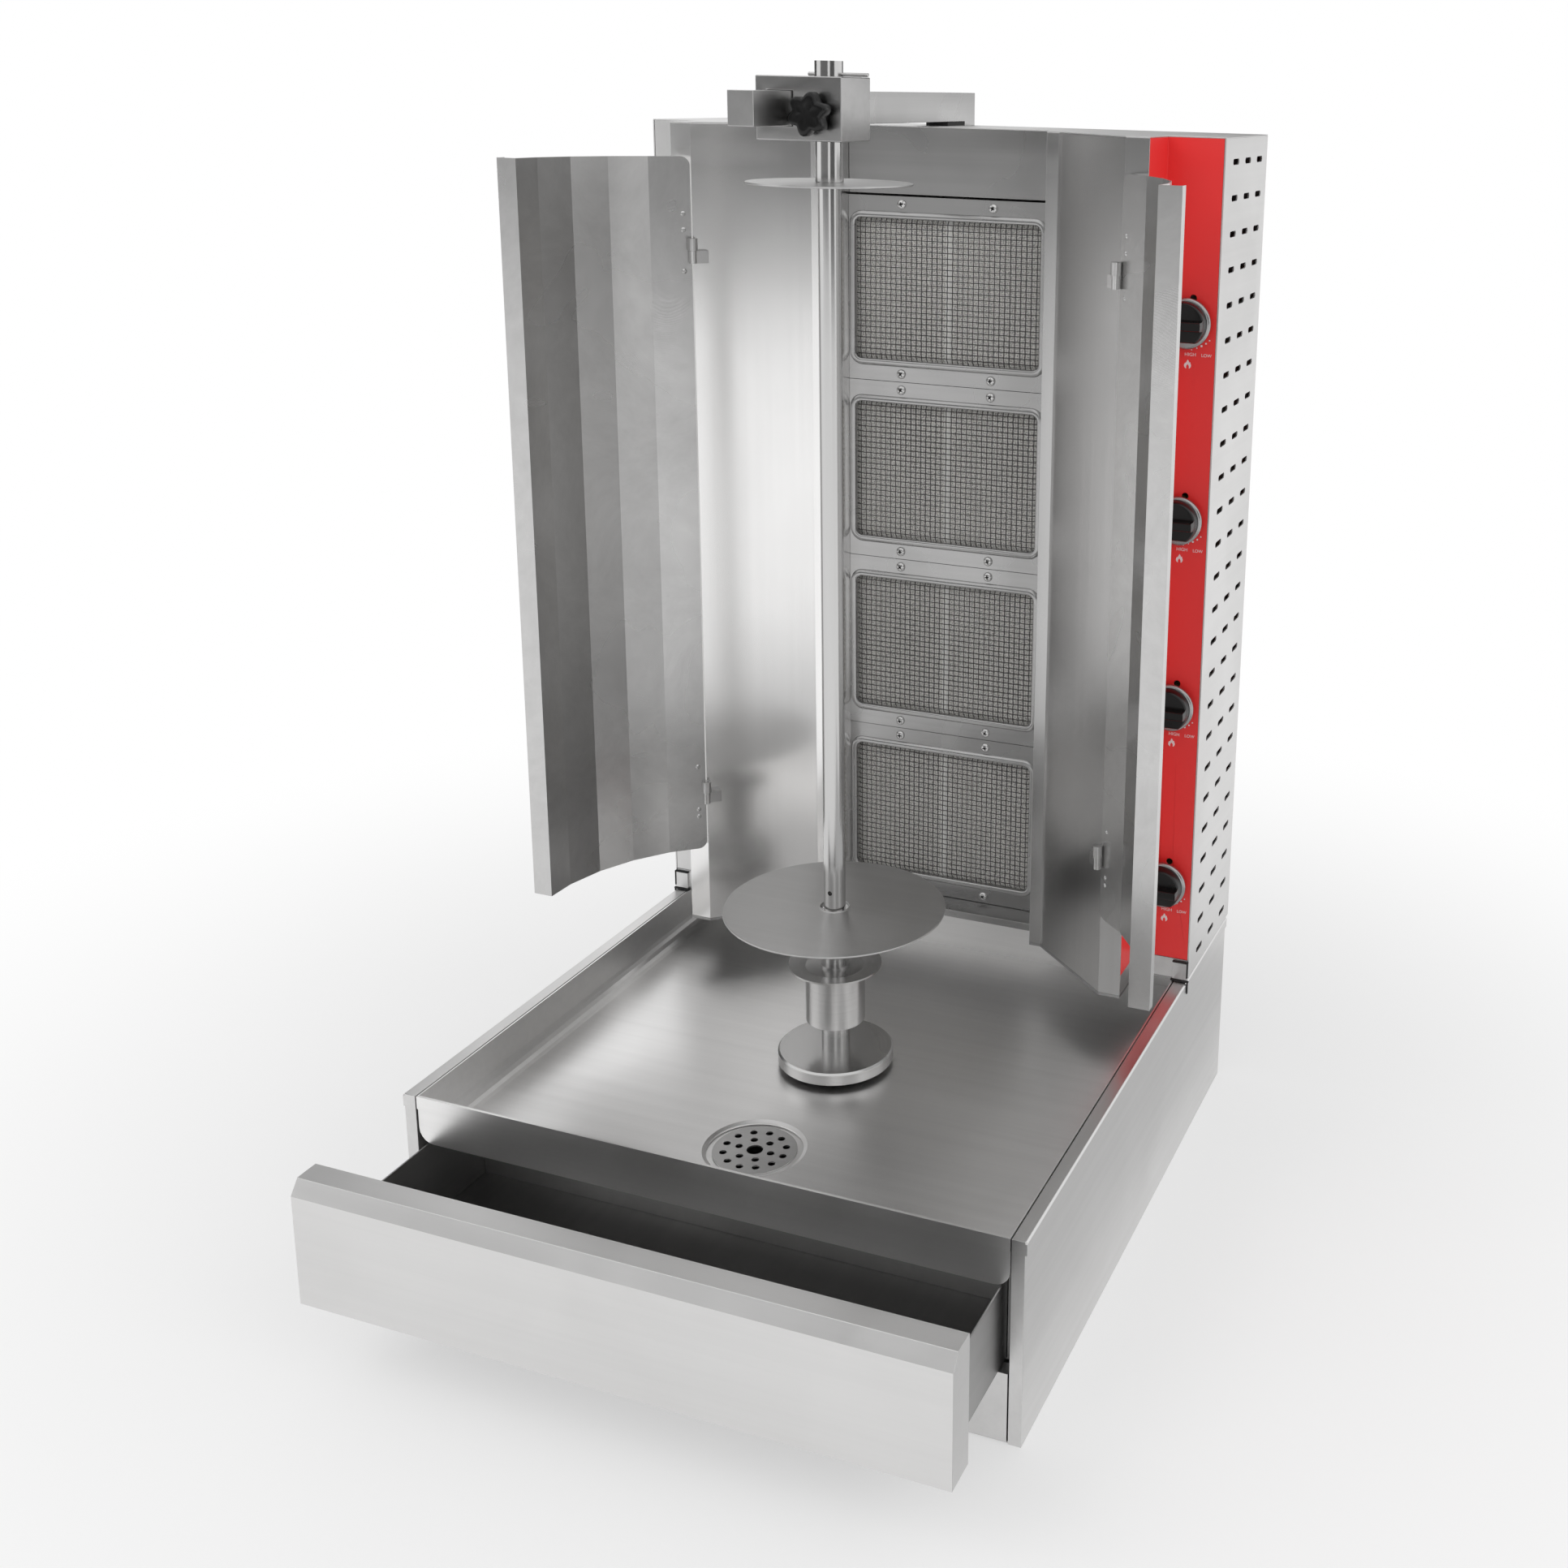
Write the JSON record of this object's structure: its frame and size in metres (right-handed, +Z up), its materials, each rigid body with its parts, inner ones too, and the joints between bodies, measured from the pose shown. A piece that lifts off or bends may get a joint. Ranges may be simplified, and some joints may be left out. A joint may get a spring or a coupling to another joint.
{
  "type": "gas doner kebab grill",
  "caption": "Upright gas grill for kebab meat: a stack of radiant burners behind a motor-turned spit, hinged heat shields, a fat pan with a drain, and a sliding drawer.",
  "frame": {"origin": "middle of the base's rectangular footprint, on its underside, which stands on the table", "axes": "+X to the right seen from the front, +Y from the drawer to the burners, +Z up"},
  "size_m": [0.577, 0.7228, 0.9771],
  "materials": {
    "stainless": "brushed stainless sheet",
    "bright_steel": "polished steel",
    "galvanised": "dull zinc-plated sheet",
    "red_enamel": "gloss red coating",
    "dark_paint": "dark grey coating",
    "black_plastic": "black moulded plastic",
    "rubber": "black rubber",
    "brass": "machined brass",
    "ceramic": null,
    "gauze": "heat-darkened wire",
    "aluminium": "cast aluminium",
    "machined_steel": "machined steel"
  },
  "bodies": {
    "base": {"base_side_left": "stainless", "base_side_right": "stainless", "base_front_rail": "stainless", "base_bottom": "galvanised", "base_back": "stainless", "drawer_runners": "galvanised", "fat_pan": "stainless", "slide_frame": "galvanised", "arm_bar": "bright_steel", "arm_pad": "rubber", "tower_floor": "galvanised", "tower_back": "stainless", "side_cover_left": "stainless", "side_cover_right": "stainless", "top_cover": "stainless", "control_panel": "red_enamel", "left_front_panel": "stainless", "foot_trim": "stainless", "bay_wall_left": "stainless", "bay_wall_right": "stainless", "header_fascia": "stainless", "drip_ledge": "stainless", "burner_frames": "stainless", "burner_gauzes": "gauze", "burner_plaques": "ceramic", "burner_boxes": "galvanised", "screws": "bright_steel", "gas_manifold": "brass", "injector_pipes": "brass", "tap_bodies": "brass", "cable_gland": "black_plastic", "hinge_brackets": "galvanised"},
    "drawer": {"drawer_front": "stainless", "drawer_box": "stainless"},
    "strainer": {"drain_strainer": "stainless"},
    "left_shield": {"shield_left": "stainless"},
    "right_shield": {"shield_right": "stainless"},
    "carriage": {"drive_carriage": "aluminium", "shaft_bearing": "machined_steel", "gearbox_housing": "aluminium", "gear_motor": "dark_paint"},
    "spit": {"drive_shaft": "bright_steel", "output_gear": "machined_steel", "drive_cup": "bright_steel", "drip_disc": "bright_steel", "lower_disc": "bright_steel", "spit_rod": "bright_steel"},
    "pinion": {"motor_pinion": "machined_steel"},
    "press_disc": {"upper_disc": "bright_steel"},
    "clamp": {"clamp_block": "bright_steel"},
    "sleeve": {"lock_sleeve": "bright_steel"},
    "star": {"star_knob": "black_plastic"},
    "tap_1": {"tap_plug_1": "machined_steel"},
    "dial_1": {"knob_1": "black_plastic"},
    "tap_2": {"tap_plug_2": "machined_steel"},
    "dial_2": {"knob_2": "black_plastic"},
    "tap_3": {"tap_plug_3": "machined_steel"},
    "dial_3": {"knob_3": "black_plastic"},
    "tap_4": {"tap_plug_4": "machined_steel"},
    "dial_4": {"knob_4": "black_plastic"}
  },
  "joints": [
    {"name": "drawer_slide", "type": "slide", "parent": "base", "child": "drawer", "axis": [0, -1, 0], "range_m": [-0.1015, 0.04]},
    {"name": "strainer_lift", "type": "slide", "parent": "base", "child": "strainer", "axis": [0, 0, 1], "range_m": [0, 0.03]},
    {"name": "shield_left_turn", "type": "hinge", "parent": "base", "child": "left_shield", "pos_m": [-0.195, 0.078, 0.5], "axis": [0, 0, 1], "range_deg": [-15, 50]},
    {"name": "shield_right_turn", "type": "hinge", "parent": "base", "child": "right_shield", "pos_m": [0.195, 0.078, 0.5], "axis": [0, 0, 1], "range_deg": [-50, 15]},
    {"name": "carriage_slide", "type": "slide", "parent": "base", "child": "carriage", "axis": [0, 1, 0], "range_m": [-0.015, 0.02]},
    {"name": "spit_spin", "type": "hinge", "parent": "carriage", "child": "spit", "pos_m": [0, -0.0462, 0.2], "axis": [0, 0, 1], "continuous": true},
    {"name": "pinion_spin", "type": "hinge", "parent": "carriage", "child": "pinion", "pos_m": [0.03, -0.0462, 0.09], "axis": [0, 0, 1], "continuous": true},
    {"name": "press_disc_slide", "type": "slide", "parent": "spit", "child": "press_disc", "axis": [0, 0, 1], "range_m": [-0.3, 0]},
    {"name": "clamp_slide", "type": "slide", "parent": "base", "child": "clamp", "axis": [0, 1, 0], "range_m": [-0.015, 0.02]},
    {"name": "sleeve_lift", "type": "slide", "parent": "clamp", "child": "sleeve", "axis": [0, 0, 1], "range_m": [0, 0.045]},
    {"name": "star_knob_turn", "type": "hinge", "parent": "clamp", "child": "star", "pos_m": [0.0069, -0.0935, 0.93805], "axis": [0, -1, 0], "range_deg": [0, 360]},
    {"name": "tap_1_turn", "type": "hinge", "parent": "base", "child": "tap_1", "pos_m": [0.241, 0.1465, 0.77345], "axis": [0, -1, 0], "range_deg": [0, 210]},
    {"name": "knob_1_push", "type": "slide", "parent": "tap_1", "child": "dial_1", "axis": [0, 1, 0], "range_m": [0, 0.003], "stiffness_N_per_m": 800},
    {"name": "tap_2_turn", "type": "hinge", "parent": "base", "child": "tap_2", "pos_m": [0.241, 0.1465, 0.60455], "axis": [0, -1, 0], "range_deg": [0, 210]},
    {"name": "knob_2_push", "type": "slide", "parent": "tap_2", "child": "dial_2", "axis": [0, 1, 0], "range_m": [0, 0.003], "stiffness_N_per_m": 800},
    {"name": "tap_3_turn", "type": "hinge", "parent": "base", "child": "tap_3", "pos_m": [0.241, 0.1465, 0.43565], "axis": [0, -1, 0], "range_deg": [0, 210]},
    {"name": "knob_3_push", "type": "slide", "parent": "tap_3", "child": "dial_3", "axis": [0, 1, 0], "range_m": [0, 0.003], "stiffness_N_per_m": 800},
    {"name": "tap_4_turn", "type": "hinge", "parent": "base", "child": "tap_4", "pos_m": [0.241, 0.1465, 0.26675], "axis": [0, -1, 0], "range_deg": [0, 210]},
    {"name": "knob_4_push", "type": "slide", "parent": "tap_4", "child": "dial_4", "axis": [0, 1, 0], "range_m": [0, 0.003], "stiffness_N_per_m": 800}
  ],
  "couplings": [
    {"joint": "pinion_spin", "follows": "spit_spin", "ratio": -2.75},
    {"joint": "clamp_slide", "follows": "carriage_slide", "ratio": 1}
  ]
}
